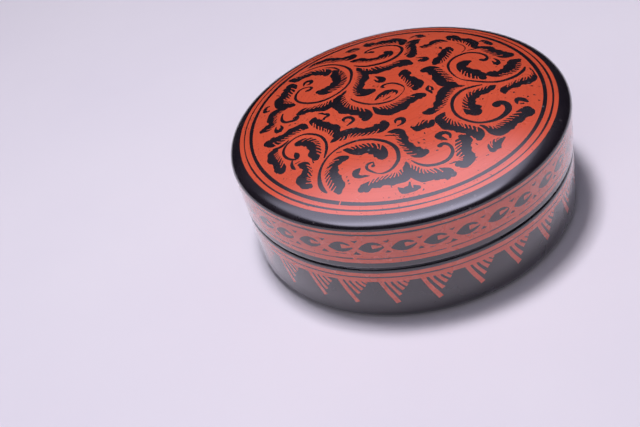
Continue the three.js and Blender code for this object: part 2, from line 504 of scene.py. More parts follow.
LEAVES = [
    # Upper left scroll
    (LEFT, [(-21.2, 24.8, 1.4), (-20, 24.4, 2.8), (-18, 24.4, 2.6), (-16, 24.5, 2.4), (-14.5, 23.9, 2.6),
     (-13, 22.9, 2.9), (-12.2, 21.5, 2.8), (-12.4, 20.6, 1.8)]),
    (LEFT, [(-10.4, 21.2, 1), (-9.9, 19.8, 2.6), (-9.8, 18.2, 3.4), (-9.6, 16.5, 3.2), (-9.8, 15, 3.4),
     (-11, 13.3, 3.4), (-12.8, 12.3, 3.2), (-14.5, 12.3, 3), (-15.6, 13, 1.6)]),
    (RIGHT, [(-22.3, 11, 1.2), (-23.4, 12.3, 2.4), (-24.6, 13.8, 3.4), (-24.6, 15.4, 3.8), (-23.3, 17.3, 3.2),
     (-22.1, 19.2, 3.3), (-21.7, 20.8, 3.4), (-21.7, 21.6, 2.4)]),
    (LEFT, [(-24.2, 11.2, 1.2), (-25.8, 11, 2.2), (-27.3, 10.2, 2.8), (-27.9, 8.6, 2.3), (-28, 7.2, 1.9),
     (-28.6, 6, 2.1), (-29.8, 5.4, 2.5), (-31, 5.3, 1.6)]),
    (RIGHT, [(-16.3, 28.4, .3), (-14.6, 28.9, 1.4), (-12.6, 29.1, 2.2), (-10.8, 28.6, 2.8), (-9.4, 27.5, 2.4),
     (-7.8, 26.6, 2), (-6.2, 26, 2.4), (-4.9, 26, 2.8), (-4.6, 27, 1.7)]),
    (RIGHT, [(-11.9, 7.2, 1), (-13.2, 6.1, 2.6), (-15, 5.5, 3.2), (-17, 5.8, 2.6), (-18.8, 6.4, 1.9),
     (-20.3, 6.6, 2.5), (-21.4, 6.2, 1.8)]),
    # Top scroll
    (RIGHT, [(-5.4, 23.4, 1), (-4.2, 22.9, 2.1), (-2.8, 21.9, 2.1), (-1.2, 20.8, 1.8), (.6, 20.6, 1.8),
     (2.2, 20.8, 2.3), (3.6, 21.6, 2.7), (3.7, 22.8, 2.3), (3.4, 23.2, 1.4)]),
    (LEFT, [(8.6, 17.4, 2.2), (8.6, 18.8, 2.9), (9.1, 20.4, 2.2), (9.4, 21.8, 2.6), (9.4, 23.3, 2.2),
     (10.1, 24.7, 2.8), (11.2, 25.6, 2.6), (12, 25.9, 1.6)]),
    (LEFT, [(8.1, 25.6, 1.4), (8, 27.2, 2.6), (7, 28.6, 3.4), (5, 29.2, 3), (3.2, 29.7, 2.7), (1.8, 30, 1.9),
     (.6, 30.6, 2.4), (-.2, 31.6, 2.1), (-.1, 32, 1.2)]),
    (LEFT, [(-4.8, 18.6, .6), (-4, 17, 1.6), (-2.8, 15.4, 2.8), (-1, 15, 3.4), (1, 14.6, 2.8), (3, 14.8, 2.2),
     (4.6, 15.1, 3), (6.3, 14.7, 3.4), (7.4, 13.5, 1.6)]),
    # Middle scroll
    (RIGHT, [(-4.9, 18.3, .7), (-4.6, 16.6, 1.5), (-4.4, 15, 2), (-4.5, 13.6, 2.8), (-5, 12.2, 2.8),
     (-5.8, 10.7, 2.4), (-6.5, 9.2, 2.4), (-6.8, 7.6, 2.4), (-6.3, 6.1, 2.8), (-5, 5.6, 2.6),
     (-3.7, 5.7, 2)]),
    (LEFT, [(-9.4, 9.2, .4), (-10.3, 8, 1.2), (-11.2, 6.6, 2.4), (-11.6, 5, 3.4), (-11.4, 3.2, 3.5),
     (-10.8, 1.6, 3.5), (-9.6, .2, 3), (-8.2, -1.2, 2.6), (-7.1, -2.6, 2.7), (-7, -4, 3), (-7.3, -4.8, 2.2)]),
    (LEFT, [(5.9, 1.5, 1.6), (6.2, 2.6, 3.4), (6, 4.1, 3.6), (5.6, 5.6, 3), (5, 7, 2.1), (4.8, 8.2, 2.3),
     (5, 9.5, 2.8), (5.3, 10.4, 2)]),
    (LEFT, [(-4.9, -1.2, .4), (-4.3, -2.4, 1.4), (-3.2, -3.4, 3.4), (-1.4, -3.9, 4.1), (.6, -3.6, 4),
     (2.4, -2.7, 3.2), (4, -2, 2.7), (5.6, -1.7, 2.5), (6.7, -1.9, 2)]),
    (RIGHT, [(-3.9, 1.3, .3), (-2.8, 1.9, 1.2), (-1.7, 2.6, 2), (-.4, 2.9, 2), (.8, 3, 1.5), (1.5, 2.7, .9)]),
    # Top right scroll
    (LEFT, [(18.6, 21.3, .3), (17.5, 22, 1.4), (16.5, 22.4, 2.6), (15.4, 21.9, 2.2), (14.4, 21.3, 1.6),
     (13.4, 21, 2), (12.5, 21, 1.8), (11.9, 21.4, .8)]),
    (LEFT, [(23.9, 15.2, 1.4), (23.7, 16.6, 2.4), (23.5, 18.3, 3.2), (22.7, 19.7, 2.8), (21.4, 21, 2.2),
     (20.5, 22.2, 2.6), (20.1, 23.4, 3.2), (19.7, 24, 2)]),
    (RIGHT, [(24, 14.5, .6), (25.2, 14.4, 1.8), (26.2, 13.2, 2.8), (27, 11.6, 2.8), (28, 10, 3),
     (29.2, 8.9, 3.4), (30.2, 8.7, 2.8)]),
    (RIGHT, [(12.8, 10.6, 1.4), (13.8, 11.4, 2.8), (15, 12.4, 2.7), (16, 13.7, 2.8), (16.9, 15.2, 2.8),
     (17.6, 16.4, 2.7), (17.8, 17.3, 1.6)]),
    # Right scroll
    (LEFT, [(31.8, 5.6, 1.2), (31, 5, 2.5), (30.1, 3.6, 3.2), (29, 2, 3.4), (27.6, .8, 3), (26, .2, 2.4),
     (24.7, .2, 2.4), (23.7, .8, 2.4)]),
    (LEFT, [(21.5, -.3, 1.8), (21, .6, 3), (20.1, 1.8, 3.6), (19, 3.3, 3.3), (18.2, 5, 2.4), (18.1, 6.5, 2.2),
     (18.7, 7.7, 2.5), (19.8, 8.2, 2.2), (20.6, 8.3, 1.2)], 0.02, 0.5),
    (RIGHT, [(14.8, -.9, 1.2), (13.5, .8, 3.4), (12.9, 2.5, 4.1), (12.7, 4.2, 3.7), (12.4, 5.9, 3.1),
     (11.9, 7.5, 3.3), (10.9, 8.6, 3), (9.8, 8.6, 2.2)]),
    (RIGHT, [(32.9, 1.2, .3), (33, -.6, .6), (32.6, -2.2, 1.3), (31.6, -3.6, 2.4), (30, -4.1, 2.7),
     (28.4, -4.6, 2.2), (27, -5.2, 2.3), (25.7, -5.8, 1.7), (24.6, -6.4, 1.8), (24.2, -7.4, 1.6),
     (24.2, -8, .8)]),
    # Lower right scroll
    (LEFT, [(16.6, -2.1, .3), (15, -1.9, 1.3), (13.2, -2.1, 2.7), (11.8, -3.2, 3.4), (10.9, -4.8, 2.8),
     (10.1, -6.2, 2.7), (9.3, -7.6, 2.5), (8, -8.7, 1.8), (6.7, -9.1, 2.3), (5.7, -9, 1.6)]),
    (RIGHT, [(23, -4.4, .7), (21.9, -4.8, 1.9), (20.3, -5.4, 2.3), (18.6, -5.8, 2.5), (17, -6.6, 2.8),
     (15.9, -8, 2.6), (15.3, -9.6, 2.7), (15.4, -11.2, 3.5), (15.8, -12.4, 4.2), (16, -12.8, 3.2)]),
    (LEFT, [(9.5, -10.8, .6), (8.7, -11.8, 2), (8.6, -13.2, 3), (9.2, -14.8, 3.4), (10.4, -16.2, 3),
     (11.8, -17.4, 2.8), (13.1, -18.6, 3), (14.2, -19.8, 3.2), (14.4, -21, 2.6), (14.1, -22, 1.5)]),
    (LEFT, [(15.6, -17.8, .4), (16.8, -18.9, 1.2), (17.9, -20.2, 2.9), (19.4, -20.2, 3.6), (21, -19.3, 3.2),
     (22.6, -18.3, 2.8), (24.2, -17.3, 2.8), (25.8, -16.2, 2.8), (26.9, -15.7, 3.1), (27.1, -15.1, 2.2)]),
    (RIGHT, [(19.4, -23.2, .4), (18.2, -23.6, 1.4), (17, -24.4, 2.4), (16.1, -25.4, 2.5),
     (15.8, -26.2, 1.7)]),
    # Lower middle scroll
    (RIGHT, [(-3.8, -12.3, .4), (-2.6, -12.7, 1.8), (-1.7, -13.9, 2.4), (-1.6, -15.4, 2.4), (-1.6, -17, 2.2),
     (-1.2, -18.6, 2.2), (-.7, -20.2, 2.6), (.2, -21.5, 3), (1.3, -22.1, 3), (2.1, -22.1, 2)]),
    (LEFT, [(-2.5, -23.6, .4), (-2.3, -25.2, 1.7), (-1.6, -26.8, 2.9), (-.6, -28.2, 3.4), (.8, -28.9, 3.2),
     (2.4, -29.1, 3), (3.9, -29.5, 3), (5.2, -30.1, 3.1), (5.8, -30.5, 1.8)]),
    (LEFT, [(7.6, -28.3, 1.4), (9, -28, 3.1), (9.7, -26.6, 3.4), (9.7, -25, 3.2), (10, -23.3, 3),
     (10.6, -21.8, 3.4), (10.9, -20.7, 2.6), (10.7, -20.1, 1.4)]),
    (RIGHT, [(6.3, -12.5, 1), (5.5, -13, 2.5), (4.5, -12.9, 3), (3.4, -13.1, 2.3), (2.4, -13.2, 2.5),
     (1.6, -12.8, .9)], 0.05, 0.85),
    # Lower left scroll
    (LEFT, [(-18, -25.9, 1.3), (-18.1, -24.6, 2.8), (-18.3, -23, 3.3), (-18.6, -21.2, 3.1),
     (-18.5, -19.4, 2.8), (-17.9, -17.8, 2.4), (-16.9, -16.6, 2.2), (-15.5, -16.2, 2.2),
     (-14.4, -16.4, 1.5)]),
    (LEFT, [(-14.2, -13.6, .7), (-12.9, -14.2, 1.9), (-11.5, -14.9, 3.3), (-10, -15.2, 3.2),
     (-8.5, -15.8, 3.1), (-7.4, -16.9, 3.3), (-6.8, -18.3, 3), (-6.8, -19.4, 2.7)]),
    (RIGHT, [(-2.8, -24.4, .6), (-3.3, -25.8, 2.1), (-4.4, -27, 3.7), (-6, -27.2, 3.2), (-8, -26.9, 2.6),
     (-10, -26.8, 2.5), (-11.6, -26.9, 2.1), (-12.8, -27.2, 2.5), (-13.3, -27.4, 1.8)]),
    (RIGHT, [(-16.4, -9.4, .6), (-15.2, -9, 1.7), (-13.8, -8.8, 2.9), (-12.2, -8.5, 3.5), (-10.4, -9.1, 2.8),
     (-8.6, -9.9, 2.4), (-6.8, -10.1, 2.7), (-5.2, -9.9, 3.5), (-4.1, -9, 3), (-4, -8.2, 1.6)]),
    (RIGHT, [(-23.5, -21.2, 1), (-24.3, -19.8, 2.6), (-24.3, -18.2, 3.3), (-23.5, -16.7, 2.5),
     (-23.1, -15.2, 1.7), (-23.5, -13.8, 2.1), (-24.2, -13.2, 1.6), (-24.6, -13, 1)]),
    # Left scroll
    (LEFT, [(-20.7, -.9, .8), (-22, -.1, 2.8), (-24, -.3, 2.8), (-26, -.9, 2.5), (-27.8, -1.4, 2.9),
     (-29.4, -1.1, 3.5), (-30.3, -.7, 2.4)]),
    (LEFT, [(-15.2, -8.3, .8), (-15.1, -6.8, 2.3), (-15.4, -5, 3.1), (-16.6, -3.3, 2.8), (-17.8, -1.6, 2.7),
     (-18.6, 0, 2.3), (-18.8, 1.2, 2.3), (-18.6, 1.6, 1.5)]),
    (RIGHT, [(-20.7, -13, 1.6), (-20.5, -11.5, 2.7), (-20.2, -9.6, 2.6), (-20.3, -8, 2.8), (-21, -6.5, 2.8),
     (-22.3, -5.6, 2.4), (-23.6, -5.5, 2)]),
    (LEFT, [(-28.6, -4.4, .7), (-29.5, -5.4, 2.6), (-29.7, -7, 2.8), (-29.2, -8.8, 2.4), (-28.9, -10.4, 2.2),
     (-28.9, -11.8, 2.7), (-28.8, -12.6, 2)]),
]

SPRIGS = [
    [(-28.1, 15.4, .6), (-28.9, 15.2, 1), (-29.3, 14.2, 1), (-29.3, 13.4, 1), (-28.3, 13.2, .5)],
    [(-18.6, 18.8, .3), (-18.2, 20, .9), (-17.4, 20.5, 1.2), (-16.6, 20.1, 1.2), (-16.5, 19.2, 1),
     (-17, 18.7, .8), (-17.7, 18.6, .3)],
    [(-12.2, 24.7, .2), (-11, 23.9, .5), (-10, 22.8, .6), (-9.4, 21.6, .5), (-9, 20.6, .3)],
    [(-5.8, 30.3, .4), (-4.9, 30.6, 1.5), (-3.9, 30.8, 1.6), (-2.9, 30.4, 1.2), (-2.4, 29.8, .6)],
    [(-5.2, 30, .6), (-4.2, 29.4, .6), (-2.6, 29.5, .4)],
    [(-27.6, 4.5, .3), (-27.9, 3.4, .7), (-27.5, 2.6, 1.8), (-26.9, 2.6, 1.8), (-26.3, 3.4, .8),
     (-26.5, 4.4, .3)],
    [(-17.3, 3.2, .3), (-16.5, 2.9, .7), (-16.1, 2.3, .5), (-15.3, 1.7, .9), (-15.2, 1, .9), (-15.9, .8, .7),
     (-16.5, .2, .7), (-16.7, -.1, .3)],
    [(-12.2, -3.4, .4), (-12.2, -2.4, 1), (-11.2, -2.2, 1), (-10.3, -3, .9), (-10.1, -4, .8),
     (-10.8, -4.7, .8), (-11.9, -5.3, .3)],
    [(9.4, 15.7, .3), (10.2, 15.4, .6), (11.2, 15, 1), (11.4, 14.1, 2), (10.6, 13.9, 2.2), (9.8, 13.9, 1)],
    [(-1.7, 11.8, .2), (-.9, 10.8, 1.2), (-.4, 9.6, 1.9), (-.5, 8.8, 1.6)],
    [(-2.1, 10.4, .2), (-1.8, 9.4, .7), (-1.1, 8.7, 1)],
    [(1.5, 2.6, .9), (1.5, 1.9, .6), (1.1, 1.3, .2)],
    [(-2.2, .3, .15), (-.9, .7, .35), (-.1, 1.3, .25)],
    [(-1.5, -9.8, .3), (-1.3, -8.9, .8), (-.5, -8.6, 1.2), (.3, -8.9, 1.2), (.4, -9.9, 1.1), (-.2, -10.7, .7),
     (-1.3, -11, .4)],
    [(9, 1.4, .3), (8.4, .4, .9), (8.3, -.4, .7), (8.8, -1.2, .8), (8.9, -2.1, .4)],
    [(9, 1.2, .3), (9.5, .4, .5), (9.4, -.7, .7)],
    [(10.4, 28.2, .2), (11.3, 28.9, .5), (12.2, 29.3, .9), (13.1, 28.9, 1.7), (13.5, 28.2, 1.7),
     (14.2, 27.6, .8)],
    [(12, 27.7, .4), (13.3, 27.5, .7)],
    [(25.9, 18.1, .5), (26.6, 18.3, 1.2), (27.2, 17.3, 1.7), (27.7, 16.3, 1.7), (27.9, 15.6, 1.1)],
    [(21.8, 14.1, .3), (23.5, 14.3, .4), (24.6, 14.4, .5)],
    [(16.1, 18.9, .4), (16.1, 18.2, .8), (16.2, 17.6, .3)],
    [(26.4, 7.8, .4), (26.9, 6.8, .8), (26.9, 5.8, 1), (26.3, 5.1, 1.9), (25.8, 5.8, .7), (25.7, 6.6, .3)],
    [(27.5, 6.7, .2), (28.4, 6, .3)],
    [(25.6, -12.7, .4), (25.7, -11.6, 1.1), (26.5, -11.1, 1.6), (27.4, -11.6, 1.4), (27.9, -12.4, .8)],
    [(26.2, -12.9, .3), (26.9, -12.9, .5)],
    [(-26, -10.8, .4), (-26.3, -12.2, .8), (-26.1, -13.4, .8), (-25.8, -13.9, .4)],
    [(-25.4, -12.1, .3), (-24.5, -11.9, .3)],
    [(-21.6, -12.6, .2), (-21.5, -14.2, .3)],
    [(-16, -13.7, .3), (-15, -13.9, .3)],
    [(-12.4, -21.3, .7), (-13.2, -21.8, 1.7), (-13.6, -22.7, 1.4), (-12.9, -23.6, 1), (-11.8, -23.9, .7),
     (-10.8, -24.3, .2)],
    [(-4.7, -13.2, .3), (-3.6, -13.6, .4), (-2.6, -14.2, .4)],
    [(6, -27.5, .2), (7.3, -27.4, .5), (8.5, -27.8, .4)],
    [(8.4, -19.6, .5), (8.6, -18.6, .8), (7.9, -17.7, 1.1), (6.8, -17.6, 1.4), (6, -18.3, 1.6),
     (6.6, -19.2, 1.2), (7.5, -20.1, .4)],
    [(-5.9, -30.2, .4), (-5.2, -31.3, 1.7), (-4, -31.4, 2), (-2.7, -31.5, 1.8), (-1.9, -31.6, 1.1)],
    [(-3.3, -29.6, .4), (-3.6, -30.8, .8)],
]

SLITS = [
    [(-4.5, 29.9, .3), (-3.2, 29.8, .35)],
    [(-27.1, 4.2, .5), (-27.2, 3.2, .3)],
    [(9.6, 14.9, .5), (10.7, 14.7, .25)],
    [(-2, 11, .4), (-1.3, 9.9, .2)],
    [(26, 17.2, .35), (26.9, 17.6, .2)],
    [(26.2, 6.8, .4), (26.3, 5.9, .2)],
    [(7.1, -18.6, .4), (7.8, -19.6, .4)],
    [(-3, -30.3, .4), (-3, -31.2, .2)],
    [(-10, 28, .2), (-12, 28.6, .3)],
    [(-18.1, -28.2, .2), (-18.5, -28.9, .3), (-18.9, -29.6, .25)],
]

DOTS = [(-24.3, 3), (-23.1, 2.8), (-29.6, 11.8), (15, 18.8), (14.4, 15.4), (15.4, 28.6), (-9.6, 30.7),
        (14.2, 8.7), (25.6, 3.6), (-15.4, -22.2), (-15.4, -23.5), (-15.5, -24.5), (-.6, -31), (-1, -32.5),
        (2, -30.9), (-7.2, -29.2), (3, -18.2), (1.6, -18.8), (2.8, -19.3), (4.6, -22.6), (13.2, -23.7),
        (11.8, -26.3), (11.7, -27.5), (14.5, -27.4), (12, -23), (28.8, -10.5), (30.2, -10.2), (26.3, -8.2),
        (19, -8.6), (31, -6.7), (8.7, 6.3), (-25.5, 19.3), (-25, 18.6), (3.6, -16.3), (30.6, -12.6)]

LID_LINES = [(35.85, 36.25), (33.87, 34.78)]  # inner and outer radii
LID_LINE_STEPS = 150
LID_LINE_DRIFT = [(3, 0.05), (11, 0.03)]  # waves round the lid, and their height

SPECK_COUNT = 260
SPECK_REACH = 33.4


def specks(pattern):
    """Small dark marks in the red ground: dots at the places seen, and specks scattered evenly."""
    for x, y in DOTS:
        length = between(0.1, 0.6)
        angle = between(0, tau)
        width = between(0.25, 0.5)
        stroke(pattern, [(x, y, width), (x + length * cos(angle), y + length * sin(angle), 0.15)])
    for _ in range(SPECK_COUNT):
        radius = SPECK_REACH * sqrt(chance.random())
        angle = between(0, tau)
        size = 0.05 + 0.11 * chance.random() ** 3
        middle = Vector((radius * cos(angle), radius * sin(angle)))
        pattern.add(circle(middle.x, middle.y, size, 6), BLACK)


def lid_line(pattern, inner, outer):
    """A turned line near the lid's edge, slightly uneven in width."""
    wave = between(0, tau)
    outside = []
    inside = []
    for k in range(LID_LINE_STEPS + 1):
        angle = k / LID_LINE_STEPS * tau
        drift = sum(height * sin(waves * angle + wave) for waves, height in LID_LINE_DRIFT)
        for edge, radius in ((outside, outer + drift), (inside, inner - drift)):
            edge.append((radius * cos(angle), radius * sin(angle)))
    pattern.quads(outside, inside, BLACK)


def top_pattern():
    pattern = Pattern()
    for inner, outer in LID_LINES:
        lid_line(pattern, inner, outer)
    for leaf_of in LEAVES:
        leaf(pattern, *leaf_of)
    for points in STEMS:
        stroke(pattern, [(x, y, width * STEM_FULLNESS) for x, y, width in points])
    for points in SPRIGS:
        stroke(pattern, points)
    for points in SLITS:
        stroke(pattern, points, RED)
    specks(pattern)
    return pattern


# Patterns of the walls, along the unrolled strip. First the heights of their bands and lines.
SHOULDER_BAND_LOW = 26.55  # just above the wall, whose top it leaves red
UPPER_LINE = (25.3, 25.76)
EYE_HEIGHT = 22.0
LOWER_LINE_HEIGHT = 18.65
LID_RIM_BAND_HIGH = 17.35
BODY_RIM_BAND_LOW = 14.3
BODY_LINE_HEIGHT = 13.1
TOOTH_TOP = 12
BLACK_GROUND_HIGH = 11.8

BEYOND = 0.3  # by which a band at the strip's edge reaches past it
BAND_STEPS = 144


def strip_place(degrees):
    return (radians(degrees) - STRIP_START) % tau * OUTER_RADIUS


def strip_band(pattern, low, high, wave=0.04):
    """A black band all round, with slightly uneven borders."""
    wobble = [between(-wave, wave) for _ in range(2 * BAND_STEPS)]
    tops = []
    bottoms = []
    for k in range(BAND_STEPS + 1):
        x = k / BAND_STEPS * STRIP_LENGTH
        tops.append((x, high + wobble[k % BAND_STEPS]))
        bottoms.append((x, low + wobble[BAND_STEPS + k % BAND_STEPS]))
    pattern.quads(tops, bottoms, BLACK)


# Middles of the eyes of the lid's chain and tips of the body's teeth: degrees round the axis
EYES_IN_FRONT = [227.5, 238.2, 248.1, 258.2, 268.1, 278.1, 288.6, 298.2, 309.3, 318.3]
EYES_BEHIND = 26
TEETH_IN_FRONT = [225.9, 237.5, 251.2, 264.7, 278.8, 292.8, 306.9, 321.8]
TEETH_BEHIND = 18


def all_round(seen, behind, jitter):
    """Places seen in front, followed by evenly spread ones behind."""
    gap = (seen[0] + 360 - seen[-1]) / (behind + 1)
    return seen + [seen[-1] + gap * (k + 1) + between(-jitter, jitter) for k in range(behind)]


# Outlines of an eye, the red notch in it, and the marks above and below between two eyes
EYE = [(-2.75, -.3), (-2.3, -.65), (-1.6, -1.05), (-.7, -1.35), (.3, -1.4), (1.2, -1.15), (2, -.75),
       (2.7, -.25), (2.5, .3), (2.1, .75), (1.5, 1.15), (.7, 1.4), (-.2, 1.4), (-1, 1.15), (-1.8, .65),
       (-2.4, .1)]
NOTCH = [(.2, .7), (.25, -.45), (1.1, -.35), (2, -.15), (2.75, .05), (2.6, .5), (1.7, .45), (1, .75)]
MARK_ABOVE = [(-.7, 1.75), (-.2, 1.35), (.1, 1.15), (.5, 1.5), (.75, 1.85), (.1, 1.7)]
MARK_BELOW = [(-.75, -1.75), (-.1, -1.05), (.3, -1.3), (.8, -1.7), (.1, -1.8)]
HALF_EYE_GAP = STRIP_LENGTH / 72  # of 36 eyes all round


def placed(outline, x, y, size, tilt):
    cosine = cos(tilt) * size
    sine = sin(tilt) * size
    return [(x + a * cosine - b * sine, y + a * sine + b * cosine) for a, b in outline]


def scratch(pattern, x):
    """A short thin scratch under the eye at x."""
    length = between(0.4, 1.8)
    left = max(0.5, min(STRIP_LENGTH - 3, x + between(-2, 2.5)))
    height = between(19.9, 20.2)
    stroke(pattern, [(left, height, 0.1), (left + length / 2, height - 0.05, 0.22),
                     (left + length, height, 0.1)])


def eye_chain(pattern):
    """The chain of notched eyes on the lid's wall, with small marks between them."""
    for degrees in all_round(EYES_IN_FRONT, EYES_BEHIND, 0.5):
        x = strip_place(degrees)
        tilt = between(-0.06, 0.06)
        size = between(1.0, 1.08)
        notch_size = size * between(0.85, 1)
        pattern.add(placed(EYE, x, EYE_HEIGHT, size, tilt), BLACK)
        pattern.add(placed(NOTCH, x, EYE_HEIGHT, notch_size, tilt), RED)
        for mark in (MARK_ABOVE, MARK_BELOW):
            mark_size = between(0.9, 1.2)
            pattern.add(placed(mark, x + HALF_EYE_GAP, EYE_HEIGHT, mark_size, 0), BLACK)
        for _ in range(chance.choice((0, 1, 1, 2))):
            scratch(pattern, x)


# One tooth: strokes of the hatching from its longest, on the left, as (x, height, width) from its tip's place
TOOTH = [
    [(-2, 12, 1.25), (-1.65, 10.9, 1.05), (-.6, 8.6, 1.1), (.35, 6.8, 1.15), (1, 5.5, 1.3)],
    [(-.45, 12, .95), (-.05, 10.9, .75), (.95, 9.2, .8), (1.85, 7.8, .95)],
    [(1, 12, .95), (1.55, 10.9, .75), (2.8, 9.4, .95)],
    [(2.4, 12, .9), (2.9, 11.2, .75), (3.8, 10.4, .85)],
    [(3.7, 12, .8), (4.25, 11.3, .65)],
]


def teeth(pattern):
    """The sawtooth border of hatched red strokes on the body's black wall."""
    for degrees in all_round(TEETH_IN_FRONT, TEETH_BEHIND, 0.6):
        x = strip_place(degrees)
        size = between(0.95, 1.03)
        count = chance.choice((4, 5, 5))
        for points in TOOTH[:count]:
            reach = between(0.94, 1.04)
            line = [(x + a * size, TOOTH_TOP - (TOOTH_TOP - b) * reach, c * between(0.9, 1.05))
                    for a, b, c in points]
            stroke(pattern, line, RED, spacing=0.8, rounded=False)


LINE_MARGIN = 0.2  # left free at both ends of the strip


def broken_line(pattern, height, thickness, gap_chance):
    """A thin dark turned line, worn away here and there."""
    x = LINE_MARGIN
    while x < STRIP_LENGTH - 3:
        length = between(1.5, 9.0)
        end = min(x + length, STRIP_LENGTH - LINE_MARGIN)
        width = thickness * between(0.7, 1.2)
        drift = between(-0.04, 0.04)
        middle = ((x + end) / 2, height - drift, width * 0.9)
        line = [(x, height + drift, width), middle, (end, height + drift, width)]
        stroke(pattern, line, spacing=1.5, rounded=False)
        x = end
        if chance.random() < gap_chance:
            x += between(0.4, 1.6)


def lid_wall_pattern():
    pattern = Pattern()
    strip_band(pattern, SHOULDER_BAND_LOW, SHOULDER_START + BEYOND)
    strip_band(pattern, *UPPER_LINE, wave=0.07)
    strip_band(pattern, BODY_HEIGHT + EDGE_HEIGHT - BEYOND, LID_RIM_BAND_HIGH)
    broken_line(pattern, LOWER_LINE_HEIGHT, thickness=0.34, gap_chance=0.15)
    eye_chain(pattern)
    return pattern


def body_wall_pattern():
    pattern = Pattern()
    strip_band(pattern, BODY_RIM_BAND_LOW, BODY_HEIGHT - EDGE_HEIGHT + BEYOND)
    strip_band(pattern, FOOT_ROUNDING - BEYOND, BLACK_GROUND_HIGH)
    broken_line(pattern, BODY_LINE_HEIGHT, thickness=0.36, gap_chance=0.08)
    teeth(pattern)
    return pattern


# Pieces

def add_object(name, data):
    thing = bpy.data.objects.new(name, data)
    bpy.context.scene.collection.objects.link(thing)
    return thing


def turn_lid_inside(form):
    """The hollow of the lid, from its rim up and over to the middle of the ceiling."""
    fillet_edge = LID_INNER - LID_FILLET
    ceiling = dome_height(fillet_edge) - LID_TOP
    fillet_start = (LID_INNER, ceiling - LID_FILLET)
    radii = [fillet_edge * (1 - k / CEILING_STEPS) for k in range(CEILING_STEPS + 1)]
    turn(form, [(LID_INNER, BODY_HEIGHT), fillet_start])
    turn(form, quarter(fillet_start, (LID_INNER, ceiling), (fillet_edge, ceiling), EDGE_STEPS))
    turn(form, [(radius, dome_height(radius) - LID_TOP) for radius in radii])


def make_lid():
    form = Form()
    lean = (OUTER_RADIUS - SEAM_RADIUS) / LID_WALL_HEIGHT
    wall_low = BODY_HEIGHT + EDGE_HEIGHT
    edge_radius = wall_radius(wall_low)
    rim = (SEAM_RADIUS - LID_EDGE_WIDTH, BODY_HEIGHT)
    edge = quarter((edge_radius, wall_low), (edge_radius, BODY_HEIGHT), rim, EDGE_STEPS)
    lay_on_dome(form, top_pattern())
    turn(form, shoulder(SHOULDER_STEPS), (DOME_EDGE_SLOPE, 1.0), (1.0, -lean))
    lay_on_wall(form, lid_wall_pattern(), wall_low, SHOULDER_START, lean)
    turn(form, edge, (1.0, -lean), (0.0, -1.0))
    turn(form, [rim, (LID_INNER, BODY_HEIGHT)])
    turn_lid_inside(form)
    return piece("lid_lacquered", form)


def turn_body_inside(form):
    """The hollow of the body, from the middle of its floor up, and over the lip down to the rim."""
    fillet = quarter((BODY_INNER - BODY_FILLET, BODY_FLOOR), (BODY_INNER, BODY_FLOOR),
                     (BODY_INNER, BODY_FLOOR + BODY_FILLET), EDGE_STEPS)
    lip_inside = quarter((BODY_INNER, LIP_TOP - LIP_ROUNDING), (BODY_INNER, LIP_TOP),
                         (BODY_INNER + LIP_ROUNDING, LIP_TOP), LIP_STEPS)
    lip_outside = quarter((LIP_RADIUS - LIP_ROUNDING, LIP_TOP), (LIP_RADIUS, LIP_TOP),
                          (LIP_RADIUS, LIP_TOP - LIP_ROUNDING), LIP_STEPS)
    turn(form, [(0.0, BODY_FLOOR), (FLOOR_RING, BODY_FLOOR), fillet[0]])
    turn(form, fillet)
    turn(form, [fillet[-1], lip_inside[0]])
    turn(form, lip_inside)
    turn(form, [lip_inside[-1], lip_outside[0]])
    turn(form, lip_outside)
    turn(form, [lip_outside[-1], (LIP_RADIUS, BODY_HEIGHT)])


def make_body():
    form = Form()
    lean = (SEAM_RADIUS - FOOT_RADIUS) / BODY_HEIGHT
    wall_high = BODY_HEIGHT - EDGE_HEIGHT
    edge_radius = wall_radius(wall_high)
    rim = (SEAM_RADIUS - BODY_EDGE_WIDTH, BODY_HEIGHT)
    edge = quarter(rim, (edge_radius, BODY_HEIGHT), (edge_radius, wall_high), EDGE_STEPS)
    foot_radius = wall_radius(FOOT_ROUNDING)
    foot_flat = (foot_radius - FOOT_ROUNDING, 0.0)
    foot = quarter((foot_radius, FOOT_ROUNDING), (foot_radius, 0.0), foot_flat, FOOT_STEPS)
    turn(form, [(LIP_RADIUS, BODY_HEIGHT), rim])
    turn(form, edge, (0.0, 1.0), (1.0, -lean))
    lay_on_wall(form, body_wall_pattern(), FOOT_ROUNDING, wall_high, lean)
    turn(form, foot, (1.0, -lean), (0.0, -1.0))
    turn(form, [foot_flat, (UNDERSIDE_RING, 0.0), (0.0, 0.0)])
    turn_body_inside(form)
    return piece("body_lacquered", form)


def piece(name, form):
    """The object of a form, with the normals and the two lacquers of its faces."""
    mesh = bpy.data.meshes.new(name)
    mesh.from_pydata([tuple(value * MM for value in p) for p in form.points], [], form.faces)
    mesh.materials.append(black_lacquer)
    mesh.materials.append(vermilion_lacquer)
    mesh.polygons.foreach_set("material_index", form.colours)
    mesh.polygons.foreach_set("use_smooth", [True] * len(form.faces))
    mesh.update()
    normals = [Vector(normal).normalized() for corners in form.normals for normal in corners]
    mesh.normals_split_custom_set(normals)
    return add_object(name, mesh)


